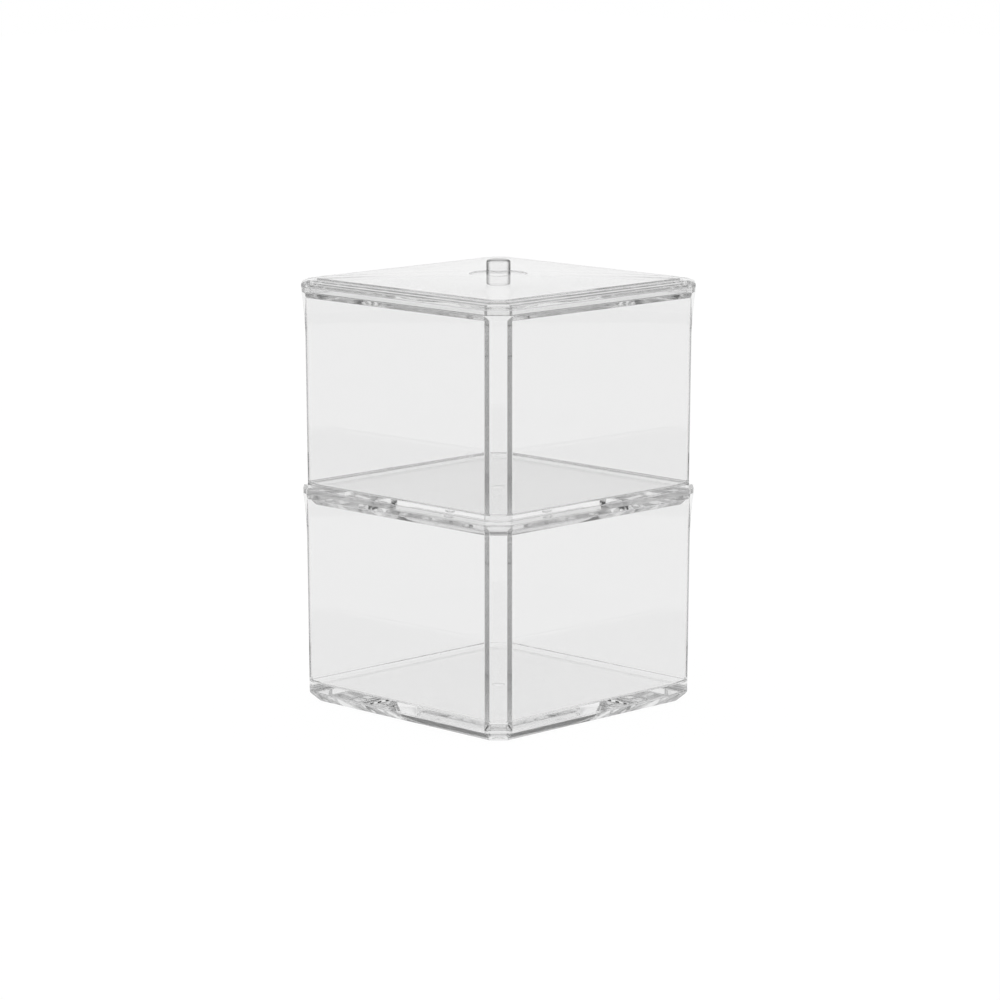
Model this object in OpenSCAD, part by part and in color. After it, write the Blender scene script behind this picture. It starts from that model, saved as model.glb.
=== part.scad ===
// Two-tier clear stacking holder for cotton pads.
// Two alike moulded boxes stand one in the rim of the other under a lift-off lid with a knob.
// The origin is the middle of the underside. The flat sides face X and Y, and +Z is up.

/* [Boxes] */
// Width across the flat sides of a box, at its base
base_w = 92.9; // [70:0.1:130]
// Height of one box, from its underside to its rim
box_h = 70.5; // [45:0.5:120]
// Leg of the slanted faces that cut the upright corners off
corner_leg = 6.1; // [4.6:0.1:12]
// Thickness of the upright walls at the base
wall_t = 1.9; // [1.4:0.1:2.6]
// Leg of the slanted faces inside the corners
inner_leg = 3.8; // [2.5:0.1:4.5]
// Thickness of the solid floor
floor_t = 6.2; // [4:0.1:10]
// Radius where the floor meets the walls inside
floor_r = 1.25; // [0.5:0.05:2.5]
// Outward slant of the outer walls from base to neck, on each side
outer_draft = 0.3; // [0.1:0.05:0.8]
// Outward slant of the inner walls from floor to seat, on each side
inner_draft = 0.3; // [0.1:0.05:0.9]

/* [Rim and foot] */
// Height of the outward flare below the rim
flare_h = 17; // [8:1:30]
// Thickness of the rim beside the recess
rim_t = 1; // [0.9:0.05:2]
// Height of the upright recess wall that holds the next base or the lid
recess_h = 1.7; // [0.9:0.05:2.5]
// Clearance around a base that stands in the recess
stack_gap = 0.2; // [0.1:0.05:0.3]
// Clearance between faces that rest on each other
rest_gap = 0.02; // [0.01:0.01:0.05]
// Height of the slanted foot
foot_h = 3.3; // [2.4:0.1:5]
// Inward reach of the slanted foot
foot_in = 3.5; // [2.4:0.1:5]

/* [Lid] */
// Height of the lid's upright edge
lid_edge_h = 1.2; // [0.8:0.1:3]
// Height of the bevel above that edge
bevel_h = 1; // [0.5:0.1:2]
// Width of the bevel
bevel_w = 2.5; // [1:0.1:4]
// Width of the level border inside the bevel
border_w = 2.5; // [1:0.1:5]
// Step from the border up to the top panel
step_h = 0.5; // [0.2:0.05:1]
// Rise of the crowned top panel from its edge to its middle
crown_h = 1.2; // [0.2:0.1:3]
// Clearance around the lid's locating ring
lid_gap = 0.25; // [0.15:0.05:0.4]
// Depth of the locating ring under the lid
ring_h = 2; // [1.4:0.1:2.2]
// Width of the locating ring where it leaves the lid
ring_t = 2.25; // [1.9:0.05:3.5]

/* [Knob] */
// Diameter of the knob
knob_d = 7.8; // [6:0.1:12]
// Height of the knob above its seat
knob_h = 4.9; // [3:0.1:12]
// Radius of the knob's top edge
knob_r = 1; // [0.3:0.1:1.4]
// Diameter of the round recess that the knob stands in
dish_d = 18.8; // [14:0.2:36]
// Depth of that recess
dish_h = 0.4; // [0.2:0.05:0.8]
// Width of the level ring around that recess, where the crown ends
dish_rim = 1.5; // [0.5:0.1:4]

/* [Small features] */
// Radius of the upright edges
edge_r = 0.5; // [0.2:0.05:0.8]
// Bevel along the rim and under the lid's edge
break_w = 0.3; // [0.1:0.05:0.4]
// Diameter of the moulding mark under each floor
mark_d = 4; // [2:0.5:8]
// Depth of the moulding mark
mark_h = 0.3; // [0.1:0.05:0.8]

/* [Hidden] */

root2 = sqrt(2);
overcut = 1;        // how far a cut runs out past the face it opens
arc_steps = 3;      // straight pieces in each rounded upright edge
flare_steps = 8;    // rings that follow the flare
fillet_steps = 4;   // rings that follow the floor's fillet
crown_steps = 6;    // rings that follow the crown of the lid

// Half widths across the flat sides
base_half = base_w / 2;
neck_half = base_half + outer_draft;
recess_half = base_half + stack_gap;
rim_half = recess_half + rim_t;
floor_half = base_half - wall_t;
seat_half = floor_half + inner_draft;

// Slope of the foot, which the seat in the rim below follows
foot_slope = foot_h / foot_in;

// Heights in one box
neck_z = box_h - flare_h;
seat_top_z = box_h - recess_h;
seat_low_z = seat_top_z - (recess_half - seat_half) * foot_slope;

// How deep a base sinks below the rim that carries it, with its foot face to face on the seat
nest_h = recess_h + foot_h + stack_gap * foot_slope - rest_gap;
tier_z = box_h - nest_h;
lid_z = tier_z + box_h + rest_gap;

// The lid
border_z = lid_z + lid_edge_h + bevel_h;
panel_z = border_z + step_h;
lid_top_z = panel_z + crown_h;
lid_half = rim_half;
border_half = lid_half - bevel_w;
panel_half = border_half - border_w;
ring_half = recess_half - lid_gap;
ring_straight_h = recess_h - lid_gap;
ring_low_half = ring_half - (ring_h - ring_straight_h) / foot_slope;
ring_inner_half = ring_half - ring_t;
dish_z = lid_top_z - dish_h;
crown_half = dish_d / 2 + dish_rim;

clear_tint = [0.90, 0.92, 0.92, 0.35];

// Leg of a cut corner after the whole outline has grown outward by the same amount
function grown(leg, by) = leg + by * (2 - root2);

// One corner point's arc centre: k counts the corners, and the two faces that meet there
// lie at 45 * k and 45 * (k + 1) degrees, at distances near and next from the middle
function arc_centre(k, near, next) =
    let (a = 45 * k, b = 45 * (k + 1))
    [(near * sin(b) - next * sin(a)) / sin(45), (next * cos(a) - near * cos(b)) / sin(45)];

// Square outline with cut corners and rounded edges, as points at one height
function outline(half, leg, z) =
    let (flat = half - edge_r, slant = (2 * half - leg) / root2 - edge_r)
    [for (k = [0 : 7], s = [0 : arc_steps])
        let (
            even = k % 2 == 0,
            centre = arc_centre(k, even ? flat : slant, even ? slant : flat),
            a = 45 * (k + s / arc_steps)
        )
        [centre[0] + edge_r * cos(a), centre[1] + edge_r * sin(a), z]];

// Solid through a list of rings, each [half width, corner leg, height], closed by flat ends
module loft(rings) {
    n = 8 * (arc_steps + 1);
    last = len(rings) - 1;
    points = [for (r = rings) each outline(r[0], r[1], r[2])];
    sides = [for (i = [0 : last - 1], j = [0 : n - 1])
        let (a = i * n + j, b = i * n + (j + 1) % n)
        each [[a, a + n, b + n], [a, b + n, b]]];
    first_end = [for (j = [0 : n - 1]) j];
    last_end = [for (j = [n - 1 : -1 : 0]) last * n + j];
    polyhedron(points, concat(sides, [first_end, last_end]));
}

// Half width of the outer wall at a share t of the flare, 0 at the neck and 1 at the rim
function flare_half(t) = neck_half + (rim_half - neck_half) * (1 - cos(90 * t));

outer_rings = [
    [base_half - foot_in, grown(corner_leg, -foot_in), 0],
    [base_half, corner_leg, foot_h],
    for (s = [0 : flare_steps])
        let (t = s / flare_steps * (1 - break_w / flare_h))
        [flare_half(t), corner_leg, neck_z + flare_h * t],
    [flare_half(1) - break_w, grown(corner_leg, -break_w), box_h]
];

recess_leg = grown(corner_leg, stack_gap);

inner_rings = [
    [recess_half + break_w, grown(recess_leg, break_w), box_h],
    [recess_half, recess_leg, box_h - break_w],
    [recess_half, recess_leg, seat_top_z],
    [seat_half, inner_leg, seat_low_z],
    for (s = [0 : fillet_steps])
        let (a = 90 * s / fillet_steps, in = floor_r * (1 - cos(a)))
        [floor_half - in, grown(inner_leg, -in), floor_t + floor_r * (1 - sin(a))]
];

// One box: drafted and flared walls, a recessed rim with a slanted seat, and a thick floor
module box() {
    color(clear_tint)
    difference() {
        loft(concat(outer_rings, inner_rings));
        translate([0, 0, -overcut])
            cylinder(h = overcut + mark_h, d = mark_d, $fn = 48);
    }
}

module lower_box() {
    box();
}

module upper_box() {
    translate([0, 0, tier_z])
        box();
}

// Rings of a crown that rises from a cut-corner square at height z to an octagon in the middle
function crown(half, leg, z) =
    let (middle_leg = crown_half * (2 - root2))
    [for (s = [0 : crown_steps])
        let (t = s / crown_steps)
        [half + (crown_half - half) * t, leg + (middle_leg - leg) * t, z + crown_h * sin(90 * t)]];

function reversed(list) = [for (i = [len(list) - 1 : -1 : 0]) list[i]];

ring_leg = grown(corner_leg, stack_gap - lid_gap);
ring_inner_leg = grown(ring_leg, -ring_t);

lid_rings = [
    each reversed(crown(ring_inner_half, ring_inner_leg, lid_z)),
    [ring_inner_half, ring_inner_leg, lid_z - ring_h],
    [ring_low_half, grown(ring_leg, ring_low_half - ring_half), lid_z - ring_h],
    [ring_half, ring_leg, lid_z - ring_straight_h],
    [ring_half, ring_leg, lid_z],
    [lid_half - break_w, grown(corner_leg, -break_w), lid_z],
    [lid_half, corner_leg, lid_z + break_w],
    [lid_half, corner_leg, lid_z + lid_edge_h],
    [border_half, grown(corner_leg, -bevel_w), border_z],
    [panel_half, grown(corner_leg, -bevel_w - border_w), border_z],
    each crown(panel_half, grown(corner_leg, -bevel_w - border_w), panel_z)
];

// The lid: a bevelled plate with a stepped, crowned top, a locating ring below and a dish for the knob
module lid() {
    color(clear_tint)
    difference() {
        loft(lid_rings);
        translate([0, 0, dish_z])
            cylinder(h = dish_h + overcut, d = dish_d, $fn = 96);
    }
}

// The knob: a short round post with a rounded top edge, bonded into the dish
module knob() {
    color(clear_tint)
    translate([0, 0, dish_z])
    rotate_extrude($fn = 64) {
        square([knob_d / 2 - knob_r, knob_h]);
        square([knob_d / 2, knob_h - knob_r]);
        translate([knob_d / 2 - knob_r, knob_h - knob_r])
            intersection() {
                circle(r = knob_r, $fn = 48);
                square(knob_r);
            }
    }
}

lower_box();
upper_box();
lid();
knob();
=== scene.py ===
import math

import bmesh
import bpy
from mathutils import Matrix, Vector


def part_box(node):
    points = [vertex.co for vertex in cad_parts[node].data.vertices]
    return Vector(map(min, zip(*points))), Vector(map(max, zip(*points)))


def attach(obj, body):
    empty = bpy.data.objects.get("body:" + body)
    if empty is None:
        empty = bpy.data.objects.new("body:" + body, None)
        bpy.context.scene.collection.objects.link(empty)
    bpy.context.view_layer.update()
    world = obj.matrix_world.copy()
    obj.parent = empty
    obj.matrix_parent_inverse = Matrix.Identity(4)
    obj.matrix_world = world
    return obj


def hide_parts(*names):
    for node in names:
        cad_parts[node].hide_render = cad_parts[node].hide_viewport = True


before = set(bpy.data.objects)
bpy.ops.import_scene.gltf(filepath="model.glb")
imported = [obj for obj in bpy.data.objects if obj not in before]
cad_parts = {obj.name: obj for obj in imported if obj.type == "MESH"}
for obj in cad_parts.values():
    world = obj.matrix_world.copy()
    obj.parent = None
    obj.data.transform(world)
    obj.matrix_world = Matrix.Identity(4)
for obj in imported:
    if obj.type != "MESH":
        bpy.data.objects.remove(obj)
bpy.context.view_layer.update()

mm = 0.001
root2 = math.sqrt(2)
mergeGap = 2e-7  # points closer than this become one, in metres
sliverGap = 1e-8  # faces thinner than this go
curveSteps = 6  # straight pieces in each softened corner of a profile
knobCurveSteps = 10
longestReach = 0.48  # share of a side that a softened corner may take up
smoothAngle = 25  # degrees; faces that turn less share their shading
white = (1, 1, 1, 1)
upperLow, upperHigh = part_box("upper_box")
lidLow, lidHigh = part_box("lid")
knobLow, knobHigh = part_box("knob")


# helpers for building node trees

def addNode(tree, kind, x=0, y=0, **settings):
    node = tree.nodes.new(kind)
    node.location = (x, y)
    for name, value in settings.items():
        setattr(node, name, value)
    return node


def plug(tree, socket, value):
    if isinstance(value, bpy.types.NodeSocket):
        tree.links.new(value, socket)
    elif value is not None:
        socket.default_value = value


def calc(tree, kind, first, second=None, third=None, mathNode="ShaderNodeMath"):
    node = addNode(tree, mathNode, operation=kind)
    for socket, value in zip(node.inputs, (first, second, third)):
        plug(tree, socket, value)
    return node.outputs[0]


def softStep(tree, value, limits, start=0.0, end=1.0):
    node = addNode(tree, "ShaderNodeMapRange", -1100, 0, interpolation_type="SMOOTHSTEP")
    plug(tree, node.inputs["Value"], value)
    for name, number in zip(("From Min", "From Max", "To Min", "To Max"), (*limits, start, end)):
        node.inputs[name].default_value = number
    return node.outputs[0]


# one rule shapes every moulding: rings of a cut-corner square, or of a circle, along a profile

def grownLeg(leg, by):
    # leg of a cut corner after the whole outline has grown outward by the same amount
    return leg + by * (2 - root2)


def roundRing(radius, height):
    return (radius, radius * (2 - root2), height, radius)


def squareRing(half, leg, height, edge):
    return (half, leg, height, edge)


def softened(profile, steps):
    # profile is a list of (ring, reach); each corner becomes a short curve that starts reach before it
    rings = []
    for place, (ring, reach) in enumerate(profile):
        here = Vector(ring)
        if not reach or place in (0, len(profile) - 1):
            rings.append(tuple(here))
            continue
        before = Vector(profile[place - 1][0]) - here
        after = Vector(profile[place + 1][0]) - here
        gapBefore = math.hypot(before[0], before[2])
        gapAfter = math.hypot(after[0], after[2])
        start = here + before * min(reach / gapBefore, longestReach)
        end = here + after * min(reach / gapAfter, longestReach)
        for step in range(steps + 1):
            t = step / steps
            rings.append(tuple(start * (1 - t) ** 2 + here * 2 * t * (1 - t) + end * t ** 2))
    return rings


def makeMouldingTree():
    tree = bpy.data.node_groups.new("cutCornerMoulding", "GeometryNodeTree")
    face = tree.interface
    face.new_socket("Profile", in_out="INPUT", socket_type="NodeSocketGeometry")
    arcSocket = face.new_socket("Arc Steps", in_out="INPUT", socket_type="NodeSocketInt")
    arcSocket.default_value = 6
    arcSocket.min_value = 1
    face.new_socket("Stand Height", in_out="INPUT", socket_type="NodeSocketFloat")
    face.new_socket("Plastic", in_out="INPUT", socket_type="NodeSocketMaterial")
    face.new_socket("Moulding", in_out="OUTPUT", socket_type="NodeSocketGeometry")
    given = addNode(tree, "NodeGroupInput", -2200, 0)
    profile, arcSteps, standHeight, plastic = given.outputs[:4]

    def whole(kind, first, second=None):
        return calc(tree, kind, first, second, mathNode="FunctionNodeIntegerMath")

    # a grid with a row of points for each ring of the profile
    size = addNode(tree, "GeometryNodeAttributeDomainSize", -2000, 300, component="MESH")
    plug(tree, size.inputs[0], profile)
    corners = whole("ADD", arcSteps, 1)
    around = whole("ADD", whole("MULTIPLY", corners, 8), 1)
    grid = addNode(tree, "GeometryNodeMeshGrid", -1700, 300)
    plug(tree, grid.inputs["Vertices X"], size.outputs["Point Count"])
    plug(tree, grid.inputs["Vertices Y"], around)

    index = addNode(tree, "GeometryNodeInputIndex", -2000, -200).outputs[0]
    ringNumber = whole("DIVIDE_FLOOR", index, around)
    pointNumber = whole("MODULO", index, around)
    corner = whole("MODULO", whole("DIVIDE_FLOOR", pointNumber, corners), 8)
    share = calc(tree, "DIVIDE", whole("MODULO", pointNumber, corners), arcSteps)

    def sampled(kind, value):
        node = addNode(tree, "GeometryNodeSampleIndex", -1400, -300, data_type=kind, domain="POINT")
        plug(tree, node.inputs["Geometry"], profile)
        plug(tree, node.inputs["Value"], value)
        plug(tree, node.inputs["Index"], ringNumber)
        return node.outputs[0]

    place = addNode(tree, "GeometryNodeInputPosition", -1700, -300).outputs[0]
    edgeNode = addNode(tree, "GeometryNodeInputNamedAttribute", -1700, -450, data_type="FLOAT")
    edgeNode.inputs["Name"].default_value = "edgeRadius"
    ring = addNode(tree, "ShaderNodeSeparateXYZ", -1200, -300)
    plug(tree, ring.inputs[0], sampled("FLOAT_VECTOR", place))
    half, leg, height = ring.outputs[:3]
    edge = sampled("FLOAT", edgeNode.outputs[0])

    # distances from the middle to a flat side and to a slanted corner face, less the edge radius
    flat = calc(tree, "SUBTRACT", half, edge)
    slant = calc(tree, "SUBTRACT", calc(tree, "DIVIDE", calc(tree, "MULTIPLY_ADD", half, 2.0,
                 calc(tree, "MULTIPLY", leg, -1.0)), root2), edge)
    odd = whole("MODULO", corner, 2)

    def swapped(first, second):
        node = addNode(tree, "GeometryNodeSwitch", -700, -300, input_type="FLOAT")
        plug(tree, node.inputs["Switch"], odd)
        plug(tree, node.inputs["False"], first)
        plug(tree, node.inputs["True"], second)
        return node.outputs[0]

    near = swapped(flat, slant)
    following = swapped(slant, flat)
    eighth = math.radians(45)
    nearAngle = calc(tree, "MULTIPLY", corner, eighth)
    nextAngle = calc(tree, "ADD", nearAngle, eighth)
    angle = calc(tree, "MULTIPLY", calc(tree, "ADD", corner, share), eighth)

    def crossed(wave):
        first = calc(tree, "MULTIPLY", near, calc(tree, wave, nextAngle))
        second = calc(tree, "MULTIPLY", following, calc(tree, wave, nearAngle))
        return calc(tree, "DIVIDE", calc(tree, "SUBTRACT", first, second), math.sin(eighth))

    centreX = crossed("SINE")
    centreY = calc(tree, "MULTIPLY", crossed("COSINE"), -1.0)
    spot = addNode(tree, "ShaderNodeCombineXYZ", -100, -300)
    plug(tree, spot.inputs[0], calc(tree, "MULTIPLY_ADD", calc(tree, "COSINE", angle), edge, centreX))
    plug(tree, spot.inputs[1], calc(tree, "MULTIPLY_ADD", calc(tree, "SINE", angle), edge, centreY))
    plug(tree, spot.inputs[2], calc(tree, "ADD", height, standHeight))

    moved = addNode(tree, "GeometryNodeSetPosition", 100, 200)
    plug(tree, moved.inputs["Geometry"], grid.outputs["Mesh"])
    plug(tree, moved.inputs["Position"], spot.outputs[0])
    merged = addNode(tree, "GeometryNodeMergeByDistance", 300, 200)
    plug(tree, merged.inputs["Geometry"], moved.outputs[0])
    merged.inputs["Distance"].default_value = mergeGap
    real = addNode(tree, "GeometryNodeRealizeInstances", 500, 200)
    plug(tree, real.inputs[0], merged.outputs[0])
    finish = addNode(tree, "GeometryNodeSetMaterial", 700, 200)
    plug(tree, finish.inputs["Geometry"], real.outputs[0])
    plug(tree, finish.inputs["Material"], plastic)
    result = addNode(tree, "NodeGroupOutput", 900, 200)
    plug(tree, result.inputs[0], finish.outputs[0])
    return tree


mouldingTree = makeMouldingTree()


def smoothNormals(work):
    # large faces stay flat, and the small ones between them take up the turn
    least = math.cos(math.radians(smoothAngle))
    areas = {face: face.calc_area() for face in work.faces}
    normals = []
    for face in work.faces:
        for corner in face.loops:
            total = Vector()
            for other in corner.vert.link_faces:
                if other.normal.dot(face.normal) > least:
                    total += other.normal * areas[other]
            normals.append(total.normalized())
    return normals


def mould(name, rings, standHeight, arcSteps, plastic):
    # rings are in millimetres, (half width, corner leg, height, edge radius)
    chain = bpy.data.meshes.new(name + "Profile")
    chain.from_pydata([tuple(mm * v for v in ring[:3]) for ring in rings], [], [])
    edges = chain.attributes.new("edgeRadius", "FLOAT", "POINT")
    for item, ring in zip(edges.data, rings):
        item.value = ring[3] * mm
    piece = bpy.data.objects.new(name, chain)
    bpy.context.scene.collection.objects.link(piece)
    loft = piece.modifiers.new("loft", "NODES")
    loft.node_group = mouldingTree
    values = {"Arc Steps": arcSteps, "Stand Height": standHeight, "Plastic": plastic}
    for item in mouldingTree.interface.items_tree:
        if item.name in values:
            loft[item.identifier] = values[item.name]
    scene = bpy.context.evaluated_depsgraph_get()
    shape = bpy.data.meshes.new_from_object(piece.evaluated_get(scene))
    piece.modifiers.remove(loft)
    work = bmesh.new()
    work.from_mesh(shape)
    bmesh.ops.remove_doubles(work, verts=work.verts, dist=mergeGap)
    bmesh.ops.dissolve_degenerate(work, edges=work.edges, dist=sliverGap)
    bmesh.ops.recalc_face_normals(work, faces=work.faces)
    openEdges = sum(1 for e in work.edges if len(e.link_faces) != 2)
    work.normal_update()
    normals = smoothNormals(work)
    for face in work.faces:
        face.smooth = True
    work.to_mesh(shape)
    work.free()
    shape.normals_split_custom_set(normals)
    shape.name = name
    piece.data = shape
    print("moulded", name, len(shape.vertices), "points,", openEdges, "open edges")
    return piece


# clear plastic

# the photo is too small to show any of this, so the amounts are made up and kept faint
surface = {
    "rippleScale": 45.0,  # slow waves that the melt leaves in a moulded face
    "scratchScale": 130.0,
    "scratchWidth": 0.006,
    "dustScale": 900.0,
    "dustShare": 0.79,
    "scratchStretch": (1.0, 0.12, 0.45),
    "scratchTurns": ((0.3, 0.5, 0.6), (1.1, -0.4, 2.0)),
    "patchScale": 78.0,  # scratches lie in patches
    "patchShare": 0.6,
    "scratchDepth": 0.4,
    "dustHeight": 0.2,
}


def makeSurfaceGroup(s):
    # height and roughness of a handled, polished face: flow waves, hairline scratches and dust
    tree = bpy.data.node_groups.new("handledFace", "ShaderNodeTree")
    face = tree.interface
    face.new_socket("Position", in_out="INPUT", socket_type="NodeSocketVector")
    for name, value in (("Polish", 0.0), ("Worn Roughness", 0.05)):
        face.new_socket(name, in_out="INPUT", socket_type="NodeSocketFloat").default_value = value
    face.new_socket("Roughness", in_out="OUTPUT", socket_type="NodeSocketFloat")
    face.new_socket("Height", in_out="OUTPUT", socket_type="NodeSocketFloat")
    given = addNode(tree, "NodeGroupInput", -1400, 0)
    position, polish, worn = given.outputs[:3]

    def noise(place, scale, detail):
        node = addNode(tree, "ShaderNodeTexNoise", -900, 0)
        plug(tree, node.inputs["Vector"], place)
        node.inputs["Scale"].default_value = scale
        node.inputs["Detail"].default_value = detail
        return node.outputs[0]

    def scratchesAlong(turn):
        # thin level lines of a stretched noise
        stretched = addNode(tree, "ShaderNodeMapping", -1150, 0)
        plug(tree, stretched.inputs["Vector"], position)
        stretched.inputs["Rotation"].default_value = turn
        stretched.inputs["Scale"].default_value = s["scratchStretch"]
        level = noise(stretched.outputs[0], s["scratchScale"], 1.0)
        off = calc(tree, "ABSOLUTE", calc(tree, "SUBTRACT", level, 0.5))
        line = calc(tree, "LESS_THAN", off, s["scratchWidth"])
        patches = calc(tree, "GREATER_THAN", noise(position, s["patchScale"], 0.0), s["patchShare"])
        return calc(tree, "MULTIPLY", line, patches)

    ripple = noise(position, s["rippleScale"], 0.0)
    scratches = calc(tree, "MAXIMUM", *(scratchesAlong(turn) for turn in s["scratchTurns"]))
    dust = calc(tree, "GREATER_THAN", noise(position, s["dustScale"], 0.0), s["dustShare"])
    marks = calc(tree, "MAXIMUM", scratches, dust)
    height = calc(tree, "MULTIPLY_ADD", scratches, -s["scratchDepth"], ripple)
    height = calc(tree, "MULTIPLY_ADD", dust, s["dustHeight"], height)
    result = addNode(tree, "NodeGroupOutput", 400, 0)
    plug(tree, result.inputs["Roughness"], calc(tree, "MULTIPLY_ADD", marks, worn, polish))
    plug(tree, result.inputs["Height"], height)
    return tree


surfaceGroup = makeSurfaceGroup(surface)

plastic = {
    "tint": (0.95, 0.95, 0.95),
    "ior": 1.49,
    "polish": 0.02,
    "wornRoughness": 0.06,
    "waves": 0.000002,  # height of the flow waves, in metres
    "paintedRimShade": None,
}

knobPlasticSettings = {
    **plastic,
    "tint": (0.99, 0.99, 0.99),
    "paintedRimShade": (0.04, 0.04, 0.04),  # painted shade on the sides of the post, standing in for the dark room seen through it, made as dark as they are in the photo
    "paintedShadeLimits": (0.2, 0.55),  # how far round the post the painted shade begins and is full
}


def makePlastic(name, settings):
    material = bpy.data.materials.new(name)
    material.use_nodes = True
    tree = material.node_tree
    shader = tree.nodes["Principled BSDF"]
    shader.inputs["IOR"].default_value = settings["ior"]
    shader.inputs["Transmission Weight"].default_value = 1
    coordinates = addNode(tree, "ShaderNodeTexCoord", -1100, 0)
    handled = addNode(tree, "ShaderNodeGroup", -800, 0, node_tree=surfaceGroup)
    plug(tree, handled.inputs["Position"], coordinates.outputs["Object"])
    handled.inputs["Polish"].default_value = settings["polish"]
    handled.inputs["Worn Roughness"].default_value = settings["wornRoughness"]
    plug(tree, shader.inputs["Roughness"], handled.outputs["Roughness"])
    bump = addNode(tree, "ShaderNodeBump", -400, -200)
    bump.inputs["Distance"].default_value = settings["waves"]
    plug(tree, bump.inputs["Height"], handled.outputs["Height"])
    plug(tree, shader.inputs["Normal"], bump.outputs[0])
    # painted shade: the knob's colour darkens by facing angle towards its outline, where the dark room
    # would show through the post
    if settings["paintedRimShade"]:
        facing = addNode(tree, "ShaderNodeLayerWeight", -800, 400)
        facing.inputs["Blend"].default_value = 0.5
        tintWithPaintedShade = addNode(tree, "ShaderNodeMix", -400, 400, data_type="RGBA")
        plug(tree, tintWithPaintedShade.inputs["Factor"], softStep(tree, facing.outputs["Facing"], settings["paintedShadeLimits"]))
        tintWithPaintedShade.inputs["A"].default_value = (*settings["tint"], 1)
        tintWithPaintedShade.inputs["B"].default_value = (*settings["paintedRimShade"], 1)
        plug(tree, shader.inputs["Base Color"], tintWithPaintedShade.outputs["Result"])
    else:
        shader.inputs["Base Color"].default_value = (*settings["tint"], 1)
    return material


clearPlastic = makePlastic("clearMoulding", plastic)
knobPlastic = makePlastic("clearKnob", knobPlasticSettings)


# the two boxes

box = {
    "baseWidth": 92.9,
    "height": 70.5,
    "cornerLeg": 6.1,  # slanted face across each upright corner
    "wall": 1.9,
    "innerLeg": 3.8,
    "floor": 6.2,
    "floorFillet": 1.25,
    "outerDraft": 0.3,
    "innerDraft": 0.3,
    "flareHeight": 17.0,
    "rimWall": 1.0,
    "recessHeight": 1.7,  # recess that takes the next foot or the lid
    "stackGap": 0.2,
    "footHeight": 3.3,
    "footIn": 3.5,
    "uprightEdge": 0.3,
    "edgeSoftness": 0.3,
    "footSoftness": 0.6,
    "rimSoftness": 0.25,
    "recessSoftness": 0.12,
    "rimLean": 0.005,
    "topShare": 0.985,  # share of the flare that is left when the rim's soft edge begins
    "markRadius": 2.0,  # moulding mark under the floor
    "markDepth": 0.3,
    "markDraft": 0.1,
    "markSoftness": (0.15, 0.1),  # at the top and at the bottom of its wall
    "underBorder": 2.0,  # level border of the underside, inside the foot
    "flareRings": 36,
    "arcSteps": 6,
}


def boxProfile(b):
    base = b["baseWidth"] / 2
    neck = base + b["outerDraft"]
    recess = base + b["stackGap"]
    rim = recess + b["rimWall"]
    floorHalf = base - b["wall"]
    seat = floorHalf + b["innerDraft"]
    slope = b["footHeight"] / b["footIn"]
    neckZ = b["height"] - b["flareHeight"]
    seatTop = b["height"] - b["recessHeight"]
    seatLow = seatTop - (recess - seat) * slope
    leg, edge, soft = b["cornerLeg"], b["uprightEdge"], b["edgeSoftness"]
    footHalf = base - b["footIn"]
    recessLeg = grownLeg(leg, b["stackGap"])
    inset = 2 * b["floorFillet"]
    under = b["underBorder"]

    outside = [
        (roundRing(0, b["markDepth"]), 0),
        (roundRing(b["markRadius"] - b["markDraft"], b["markDepth"]), b["markSoftness"][0]),
        (roundRing(b["markRadius"], 0), b["markSoftness"][1]),
        (squareRing(footHalf - under, grownLeg(leg, -b["footIn"] - under), 0, edge), 0),
        (squareRing(footHalf, grownLeg(leg, -b["footIn"]), 0, edge), soft),
        (squareRing(base, leg, b["footHeight"], edge), b["footSoftness"]),
    ]
    for ringNumber in range(b["flareRings"] + 1):
        t = ringNumber / b["flareRings"] * b["topShare"]
        half = neck + (rim - neck) * (1 - math.cos(math.pi / 2 * t))
        outside.append((squareRing(half, leg, neckZ + b["flareHeight"] * t, edge), 0))
    inside = [
        (squareRing(rim - b["rimLean"], leg, b["height"], edge), b["rimSoftness"]),
        (squareRing(recess, recessLeg, b["height"], edge), b["rimSoftness"]),
        (squareRing(recess, recessLeg, seatTop, edge), b["recessSoftness"]),
        (squareRing(seat, b["innerLeg"], seatLow, edge), b["rimSoftness"]),
        (squareRing(floorHalf, b["innerLeg"], b["floor"], edge), b["floorFillet"]),
        (squareRing(floorHalf - inset, grownLeg(b["innerLeg"], -inset), b["floor"], edge), 0),
        (roundRing(0, b["floor"]), 0),
    ]
    return softened(outside + inside, curveSteps)


boxRings = boxProfile(box)
lowerBox = mould("lowerBox", boxRings, 0, box["arcSteps"], clearPlastic)
upperBox = mould("upperBox", boxRings, upperLow.z, box["arcSteps"], clearPlastic)
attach(lowerBox, "lower")
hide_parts("lower_box")
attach(upperBox, "upper")
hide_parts("upper_box")


# the lid

lid = {
    "edgeHeight": 1.2,
    "bevelHeight": 1.0,
    "bevelWidth": 2.5,
    "borderWidth": 2.5,  # level border between the bevel and the top panel
    "step": 0.5,  # up from the border to the panel
    "crown": 1.2,  # rise of the panel from its edge to its middle
    "crownRings": 24,
    "crownStart": (0.2, 0.3),  # how far inside the edges of the panel and of the hollow below it
    "ringGap": 0.25,
    "ringHeight": 2.0,
    "ringWall": 2.25,
    "dishWidth": 18.8,
    "dishDepth": 0.4,
    "dishRim": 1.5,
    "edgeSoftness": 0.25,
    "stepSoftness": 0.22,
    "dishSoftness": (0.15, 0.12),  # at the bottom and at the top of its wall
    "ringSoftness": (0.08, 0.1, 0.12, 0.2, 0.25),  # from the lid down the ring and back up inside
}


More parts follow.
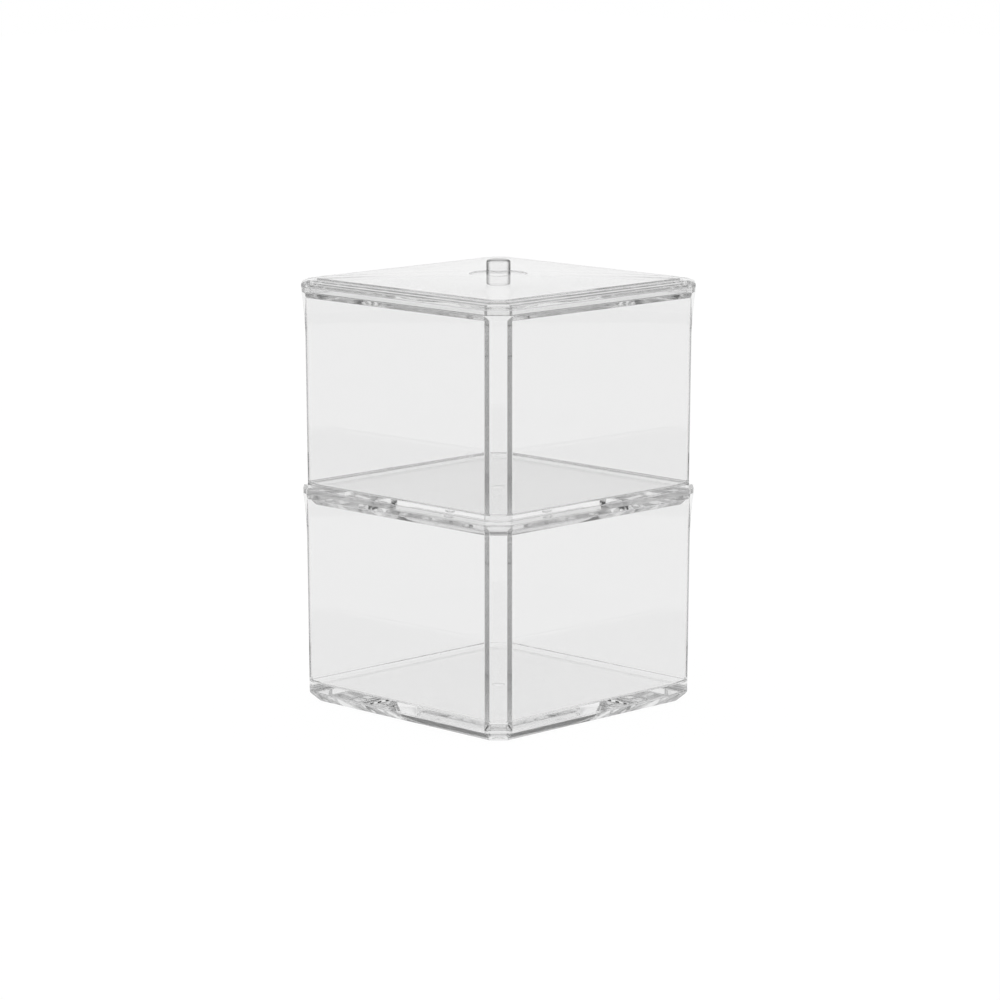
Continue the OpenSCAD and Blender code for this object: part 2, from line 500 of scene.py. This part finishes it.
def crownRings(half, leg, height, edge, l):
    # from a cut-corner square to a circle, along a quarter of a wave
    rings = []
    end = Vector(roundRing(l["dishWidth"] / 2 + l["dishRim"], 0))
    start = Vector(squareRing(half, leg, 0, edge))
    for ringNumber in range(l["crownRings"] + 1):
        t = ringNumber / l["crownRings"]
        ring = start.lerp(end, t)
        ring[2] = height + l["crown"] * math.sin(math.pi / 2 * t)
        rings.append((tuple(ring), 0))
    return rings


def lidProfile(l, b):
    base = b["baseWidth"] / 2
    recess = base + b["stackGap"]
    half = recess + b["rimWall"]
    leg, edge, soft = b["cornerLeg"], b["uprightEdge"], l["edgeSoftness"]
    border = l["edgeHeight"] + l["bevelHeight"]
    panel = border + l["step"]
    top = panel + l["crown"]
    dish = l["dishWidth"] / 2
    slope = b["footHeight"] / b["footIn"]
    ring = recess - l["ringGap"]
    ringLeg = grownLeg(leg, b["stackGap"] - l["ringGap"])
    straight = b["recessHeight"] - l["ringGap"]
    lowDrop = (l["ringHeight"] - straight) / slope
    inner = ring - l["ringWall"]
    innerLeg = grownLeg(ringLeg, -l["ringWall"])
    inward = l["bevelWidth"] + l["borderWidth"]
    panelLeg = grownLeg(leg, -inward)
    above, below = l["crownStart"]
    stepSoft, dishSoft, ringSoft = l["stepSoftness"], l["dishSoftness"], l["ringSoftness"]
    return softened([
        (roundRing(0, top - l["dishDepth"]), 0),
        (roundRing(dish, top - l["dishDepth"]), dishSoft[0]),
        (roundRing(dish, top), dishSoft[1]),
        *reversed(crownRings(half - inward - above, grownLeg(panelLeg, -above), panel, edge, l)),
        (squareRing(half - inward, panelLeg, panel, edge), stepSoft),
        (squareRing(half - inward, panelLeg, border, edge), stepSoft),
        (squareRing(half - l["bevelWidth"], grownLeg(leg, -l["bevelWidth"]), border, edge), soft),
        (squareRing(half, leg, l["edgeHeight"], edge), soft),
        (squareRing(half, leg, 0, edge), soft),
        (squareRing(ring, ringLeg, 0, edge), ringSoft[0]),
        (squareRing(ring, ringLeg, -straight, edge), ringSoft[1]),
        (squareRing(ring - lowDrop, grownLeg(ringLeg, -lowDrop), -l["ringHeight"], edge), ringSoft[2]),
        (squareRing(inner, innerLeg, -l["ringHeight"], edge), ringSoft[3]),
        (squareRing(inner, innerLeg, 0, edge), ringSoft[4]),
        *crownRings(inner - below, grownLeg(innerLeg, -below), 0, edge, l),
        (roundRing(0, l["crown"]), 0),
    ], curveSteps)


lidHeight = lid["edgeHeight"] + lid["bevelHeight"] + lid["step"] + lid["crown"]
lidZ = lidHigh.z / mm - lidHeight
lidPiece = mould("lid", lidProfile(lid, box), lidZ * mm, box["arcSteps"], clearPlastic)
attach(lidPiece, "cover")
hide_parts("lid")


# the knob

knob = {
    "width": 7.8,
    "topEdge": 1.0,
    "footEdge": 0.1,
    "seatGap": 0.03,
    "arcSteps": 12,
}


def knobProfile(k, tall):
    half = k["width"] / 2
    return softened([
        (roundRing(0, 0), 0),
        (roundRing(half, 0), k["footEdge"]),
        (roundRing(half, tall), k["topEdge"]),
        (roundRing(0, tall), 0),
    ], knobCurveSteps)


knobTall = (knobHigh.z - knobLow.z) / mm - knob["seatGap"]
knobStand = knobLow.z + knob["seatGap"] * mm
knobPiece = mould("knob", knobProfile(knob, knobTall), knobStand, knob["arcSteps"], knobPlastic)
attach(knobPiece, "cover")
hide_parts("knob")


# the studio

# the angles, turns and losses are fitted to the photo, and no real room works like this
studio = {
    "floorTone": 0.03,
    "floorGlow": 0.98,
    "floorSize": 6.0,
    "floorRoughness": 0.9,
    "floorDrop": 0.0001,  # how far the floor lies below the part
    "sides": 0.0,  # level of the unlit walls beside and behind the camera
    "backdrop": (0.64, 0.77),  # cosines of the angles where the lit backdrop ends
    "ceiling": (0.5, 0.6),  # sines of the heights where the soft light overhead begins
    "turns": (5.5, 6.5),  # meetings with a surface from which a ray sees the unlit walls at all
    "stripLow": (0.32, 0.38),  # sines of the heights where the dark strip begins and ends
    "stripHigh": (0.56, 0.62),
    "stripStart": (5.5, 6.5),  # meetings from which a ray sees the dark strip
    "stripEnd": (10.0, 12.0),  # meetings from which it sees it no longer
    "turnLoss": 0.02,  # share of light lost at each meeting with a surface of the plastic
    "mostLost": 0.4,  # level that such light never falls below
    "roomLight": 0.9,
    "bounces": 300,
}


def keptLight(tree, path, s):
    # light that has met many surfaces of the plastic is dimmer
    kept = calc(tree, "POWER", 1 - s["turnLoss"], path.outputs["Ray Depth"])
    return calc(tree, "MAXIMUM", kept, s["mostLost"])


def makeFloor(s):
    work = bmesh.new()
    bmesh.ops.create_grid(work, x_segments=1, y_segments=1, size=s["floorSize"] / 2)
    mesh = bpy.data.meshes.new("floor")
    work.to_mesh(mesh)
    work.free()
    floor = bpy.data.objects.new("floor", mesh)
    floor.location.z = -s["floorDrop"]
    bpy.context.scene.collection.objects.link(floor)
    material = bpy.data.materials.new("paleFloor")
    material.use_nodes = True
    tree = material.node_tree
    shader = tree.nodes["Principled BSDF"]
    shader.inputs["Base Color"].default_value = (s["floorTone"],) * 3 + (1,)
    shader.inputs["Roughness"].default_value = s["floorRoughness"]
    shader.inputs["Specular IOR Level"].default_value = 0
    path = addNode(tree, "ShaderNodeLightPath", -900, 0)
    seen = calc(tree, "MAXIMUM", path.outputs["Is Camera Ray"], path.outputs["Is Transmission Ray"])
    seen = calc(tree, "MAXIMUM", seen, path.outputs["Is Glossy Ray"])
    glow = calc(tree, "MULTIPLY", calc(tree, "MULTIPLY", seen, s["floorGlow"]), keptLight(tree, path, s))
    shader.inputs["Emission Color"].default_value = white
    plug(tree, shader.inputs["Emission Strength"], glow)
    mesh.materials.append(material)


def makeWorld(s):
    world = bpy.data.worlds.new("studioRoom")
    bpy.context.scene.world = world
    world.use_nodes = True
    tree = world.node_tree
    background = tree.nodes["Background"]
    path = addNode(tree, "ShaderNodeLightPath", -900, 300)
    ray = addNode(tree, "ShaderNodeTexCoord", -1500, 0)
    parts = addNode(tree, "ShaderNodeSeparateXYZ", -1300, 0)
    plug(tree, parts.inputs[0], ray.outputs["Generated"])

    # a lit backdrop beyond the object and a soft light overhead, between unlit walls
    x, y, z = parts.outputs[:3]
    level = calc(tree, "SQRT", calc(tree, "MULTIPLY_ADD", x, x, calc(tree, "MULTIPLY", y, y)))
    beyond = calc(tree, "DIVIDE", calc(tree, "SUBTRACT", y, x), calc(tree, "MULTIPLY", level, root2))
    turned = path.outputs["Ray Depth"]

    def overlap(first, *others):
        for other in others:
            first = calc(tree, "MULTIPLY", first, other)
        return first

    walls = overlap(softStep(tree, beyond, s["backdrop"], 1, 0), softStep(tree, z, s["ceiling"], 1, 0),
                    softStep(tree, turned, s["turns"]))
    # the backdrop ends below the soft light, with a dark strip of room between them
    strip = overlap(softStep(tree, z, s["stripLow"]), softStep(tree, z, s["stripHigh"], 1, 0),
                    softStep(tree, turned, s["stripEnd"], 1, 0), softStep(tree, turned, s["stripStart"]))
    unlit = calc(tree, "MAXIMUM", walls, strip)
    room = calc(tree, "MULTIPLY_ADD", unlit, s["sides"] - 1, 1.0)
    room = calc(tree, "MULTIPLY", room, keptLight(tree, path, s))
    # light that reaches the floor is plain, also where it came through the plastic
    fromFloor = calc(tree, "GREATER_THAN", path.outputs["Diffuse Depth"], 0.5)
    # a ray that has come through plastic counts as a glossy ray too
    weight = calc(tree, "MAXIMUM", path.outputs["Is Glossy Ray"], path.outputs["Is Transmission Ray"])
    mixed = addNode(tree, "ShaderNodeMix", -600, 0, data_type="FLOAT")
    plug(tree, mixed.inputs["Factor"], fromFloor)
    plug(tree, mixed.inputs["A"], calc(tree, "MULTIPLY", room, weight))
    plug(tree, mixed.inputs["B"], s["roomLight"])
    shown = addNode(tree, "ShaderNodeMix", -300, 0, data_type="FLOAT")
    plug(tree, shown.inputs["Factor"], path.outputs["Is Camera Ray"])
    plug(tree, shown.inputs["A"], mixed.outputs[0])
    plug(tree, shown.inputs["B"], 1.0)
    plug(tree, background.inputs["Strength"], shown.outputs[0])
    background.inputs["Color"].default_value = white


makeFloor(studio)
makeWorld(studio)

cycles = bpy.context.scene.cycles
cycles.max_bounces = studio["bounces"]
cycles.transmission_bounces = studio["bounces"]
cycles.glossy_bounces = studio["bounces"]

view = {
    "distance": 1283.2,
    "elevation": 10.064,
    "azimuth": 45.0,
    "aimHeight": 66.0,
    "sideways": 0.51,
    "lens": 142.70,
    "sensor": 36.0,
    "nearest": 0.05,
    "farthest": 20.0,
}


def makeCamera(v):
    turn, tilt = math.radians(v["azimuth"]), math.radians(v["elevation"])
    back = Vector((math.sin(turn) * math.cos(tilt), -math.cos(turn) * math.cos(tilt), math.sin(tilt)))
    right = Vector((math.cos(turn), math.sin(turn), 0))
    aim = Vector((0, 0, v["aimHeight"])) + right * v["sideways"]
    data = bpy.data.cameras.new("camera")
    data.lens = v["lens"]
    data.sensor_width = v["sensor"]
    data.clip_start = v["nearest"]
    data.clip_end = v["farthest"]
    camera = bpy.data.objects.new("camera", data)
    camera.location = (aim + back * v["distance"]) * mm
    camera.rotation_mode = "QUATERNION"
    camera.rotation_quaternion = (-back).to_track_quat("-Z", "Y")
    bpy.context.scene.collection.objects.link(camera)
    bpy.context.scene.camera = camera


makeCamera(view)
bpy.context.scene.view_settings.view_transform = "Standard"
